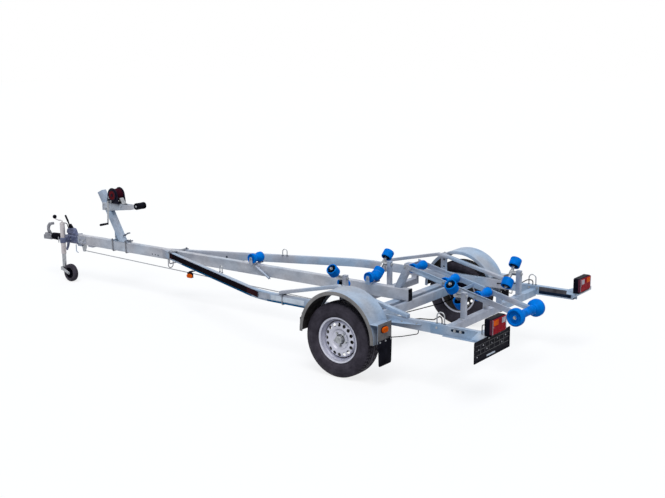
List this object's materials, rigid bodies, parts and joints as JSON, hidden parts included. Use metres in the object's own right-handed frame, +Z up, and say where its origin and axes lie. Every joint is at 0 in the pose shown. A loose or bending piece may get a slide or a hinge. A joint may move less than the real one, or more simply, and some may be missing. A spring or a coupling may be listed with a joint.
{
  "type": "boat trailer",
  "caption": "Braked boat trailer with a long drawbar and splayed rails, keel and stern rollers, tilting side rollers, winch post, mudguards, tail lamps and a jockey wheel.",
  "frame": {"origin": "on the ground under the middle of the trailer's length and width", "axes": "+X forward to the tow ball, +Y to the left, +Z up"},
  "size_m": [6.477, 2.2, 1.139],
  "materials": {
    "galvanised_steel": "hot-dip galvanised, faint spangle, satin",
    "zinc_plated": "bright zinc plate",
    "black_steel": "black paint, satin",
    "cast_housing": "grey cast finish",
    "silver_wheel": "silver lacquer",
    "tyre": "black rubber",
    "rubber": "matt black rubber",
    "blue_roller": "blue polyurethane, satin",
    "black_plastic": "black moulded plastic",
    "amber_lens": "amber lens",
    "red_lens": "red, amber and clear lens",
    "red_strap": "red woven strap on a black drum"
  },
  "bodies": {
    "chassis": {"drawbar_beam": "galvanised_steel", "side_rail_left": "galvanised_steel", "side_rail_right": "galvanised_steel", "cross_members": "galvanised_steel", "axle_tube": "galvanised_steel", "swing_arms": "black_steel", "arch_bars": "galvanised_steel", "mudguard_left": "galvanised_steel", "mudguard_right": "galvanised_steel", "mudflap_brackets": "galvanised_steel", "mudflaps": "rubber", "side_reflectors": "amber_lens", "marker_brackets": "galvanised_steel", "lamp_carriers": "galvanised_steel", "tail_lamps": "black_plastic", "tail_lamp_lenses": "red_lens", "number_plate_board": "black_plastic", "tie_down_eyes": "zinc_plated", "frame_clamps": "zinc_plated", "winch_post": "galvanised_steel", "bow_stop_arm": "galvanised_steel", "winch_frame": "black_steel", "overrun_housing": "cast_housing", "draw_bellows": "rubber", "coupling_head": "zinc_plated", "coupling_handle": "zinc_plated", "handbrake_lever": "black_plastic", "jockey_clamp": "zinc_plated", "jockey_tube": "zinc_plated", "brake_rod": "zinc_plated", "cables": "rubber", "keel_cradle": "galvanised_steel", "roller_brackets": "galvanised_steel", "wobble_posts": "galvanised_steel"},
    "wheel_left": {"wheel_hub_left": "cast_housing", "wheel_rim_left": "silver_wheel", "tyre_left": "tyre"},
    "wheel_right": {"wheel_hub_right": "cast_housing", "wheel_rim_right": "silver_wheel", "tyre_right": "tyre"},
    "jockey_leg": {"jockey_leg": "zinc_plated"},
    "jockey_fork": {"jockey_fork": "zinc_plated"},
    "jockey_wheel": {"jockey_wheel": "rubber"},
    "winch_drum": {"winch_drum": "red_strap"},
    "winch_crank": {"winch_crank": "zinc_plated"},
    "bow_roller": {"bow_roller": "rubber"},
    "keel_roller_1": {"keel_roller_1": "blue_roller"},
    "keel_roller_2": {"keel_roller_2": "blue_roller"},
    "keel_roller_3": {"keel_roller_3": "blue_roller"},
    "beam_roller_1": {"beam_roller_1": "blue_roller"},
    "beam_roller_2": {"beam_roller_2": "blue_roller"},
    "stern_roller": {"stern_roller": "blue_roller"},
    "wobble_arm_front_left": {"wobble_arm_front_left": "zinc_plated"},
    "wobble_rollers_front_left": {"wobble_rollers_front_left": "blue_roller"},
    "wobble_arm_rear_left": {"wobble_arm_rear_left": "zinc_plated"},
    "wobble_rollers_rear_left": {"wobble_rollers_rear_left": "blue_roller"},
    "wobble_arm_front_right": {"wobble_arm_front_right": "zinc_plated"},
    "wobble_rollers_front_right": {"wobble_rollers_front_right": "blue_roller"},
    "wobble_arm_rear_right": {"wobble_arm_rear_right": "zinc_plated"},
    "wobble_rollers_rear_right": {"wobble_rollers_rear_right": "blue_roller"}
  },
  "joints": [
    {"name": "wheel_left_spin", "type": "hinge", "parent": "chassis", "child": "wheel_left", "pos_m": [-1.9075, 0.968, 0.315], "axis": [0, 1, 0], "continuous": true},
    {"name": "wheel_right_spin", "type": "hinge", "parent": "chassis", "child": "wheel_right", "pos_m": [-1.9075, -0.968, 0.315], "axis": [0, 1, 0], "continuous": true},
    {"name": "jockey_slide", "type": "slide", "parent": "chassis", "child": "jockey_leg", "axis": [0, 0, 1], "range_m": [-0.15, 0.1]},
    {"name": "jockey_swivel", "type": "hinge", "parent": "jockey_leg", "child": "jockey_fork", "pos_m": [2.7475, 0.12, 0.165], "axis": [0, 0, 1], "continuous": true},
    {"name": "jockey_wheel_spin", "type": "hinge", "parent": "jockey_fork", "child": "jockey_wheel", "pos_m": [2.6375, 0.12, 0.102], "axis": [0, 1, 0], "continuous": true},
    {"name": "winch_drum_spin", "type": "hinge", "parent": "chassis", "child": "winch_drum", "pos_m": [1.9245, 0, 1.058], "axis": [0, 1, 0], "continuous": true},
    {"name": "winch_crank_spin", "type": "hinge", "parent": "chassis", "child": "winch_crank", "pos_m": [1.9485, 0.05, 0.9855], "axis": [0, 1, 0], "continuous": true},
    {"name": "bow_roller_spin", "type": "hinge", "parent": "chassis", "child": "bow_roller", "pos_m": [1.5425, 0, 0.967], "axis": [0, 1, 0], "continuous": true},
    {"name": "keel_roller_1_spin", "type": "hinge", "parent": "chassis", "child": "keel_roller_1", "pos_m": [-2.0155, 0, 0.75302], "axis": [0, 1, 0], "continuous": true},
    {"name": "keel_roller_2_spin", "type": "hinge", "parent": "chassis", "child": "keel_roller_2", "pos_m": [-2.3435, 0, 0.67495], "axis": [0, 1, 0], "continuous": true},
    {"name": "keel_roller_3_spin", "type": "hinge", "parent": "chassis", "child": "keel_roller_3", "pos_m": [-2.6595, 0, 0.59975], "axis": [0, 1, 0], "continuous": true},
    {"name": "stern_roller_spin", "type": "hinge", "parent": "chassis", "child": "stern_roller", "pos_m": [-3.0635, 0, 0.50359], "axis": [0, 1, 0], "continuous": true},
    {"name": "beam_roller_1_spin", "type": "hinge", "parent": "chassis", "child": "beam_roller_1", "pos_m": [-0.1215, 0, 0.6], "axis": [0, 1, 0], "continuous": true},
    {"name": "beam_roller_2_spin", "type": "hinge", "parent": "chassis", "child": "beam_roller_2", "pos_m": [-1.5315, 0, 0.6], "axis": [0, 1, 0], "continuous": true},
    {"name": "wobble_front_left_tilt", "type": "hinge", "parent": "chassis", "child": "wobble_arm_front_left", "pos_m": [-1.4075, 0.352, 0.643], "axis": [1, 0, 0], "range_deg": [-27, 13]},
    {"name": "wobble_front_left_spin", "type": "hinge", "parent": "wobble_arm_front_left", "child": "wobble_rollers_front_left", "pos_m": [-1.4075, 0.352, 0.643], "axis": [0, 0.7431, 0.6691], "continuous": true},
    {"name": "wobble_front_right_tilt", "type": "hinge", "parent": "chassis", "child": "wobble_arm_front_right", "pos_m": [-1.4075, -0.352, 0.643], "axis": [-1, 0, 0], "range_deg": [-27, 13]},
    {"name": "wobble_front_right_spin", "type": "hinge", "parent": "wobble_arm_front_right", "child": "wobble_rollers_front_right", "pos_m": [-1.4075, -0.352, 0.643], "axis": [0, -0.7431, 0.6691], "continuous": true},
    {"name": "wobble_rear_left_tilt", "type": "hinge", "parent": "chassis", "child": "wobble_arm_rear_left", "pos_m": [-2.6775, 0.4815, 0.696], "axis": [1, 0, 0], "range_deg": [-33, 7]},
    {"name": "wobble_rear_left_spin", "type": "hinge", "parent": "wobble_arm_rear_left", "child": "wobble_rollers_rear_left", "pos_m": [-2.6775, 0.4815, 0.696], "axis": [0, 0.6691, 0.7431], "continuous": true},
    {"name": "wobble_rear_right_tilt", "type": "hinge", "parent": "chassis", "child": "wobble_arm_rear_right", "pos_m": [-2.6775, -0.4815, 0.696], "axis": [-1, 0, 0], "range_deg": [-33, 7]},
    {"name": "wobble_rear_right_spin", "type": "hinge", "parent": "wobble_arm_rear_right", "child": "wobble_rollers_rear_right", "pos_m": [-2.6775, -0.4815, 0.696], "axis": [0, -0.6691, 0.7431], "continuous": true}
  ],
  "couplings": [
    {"joint": "winch_crank_spin", "follows": "winch_drum_spin", "ratio": -4.2069}
  ]
}
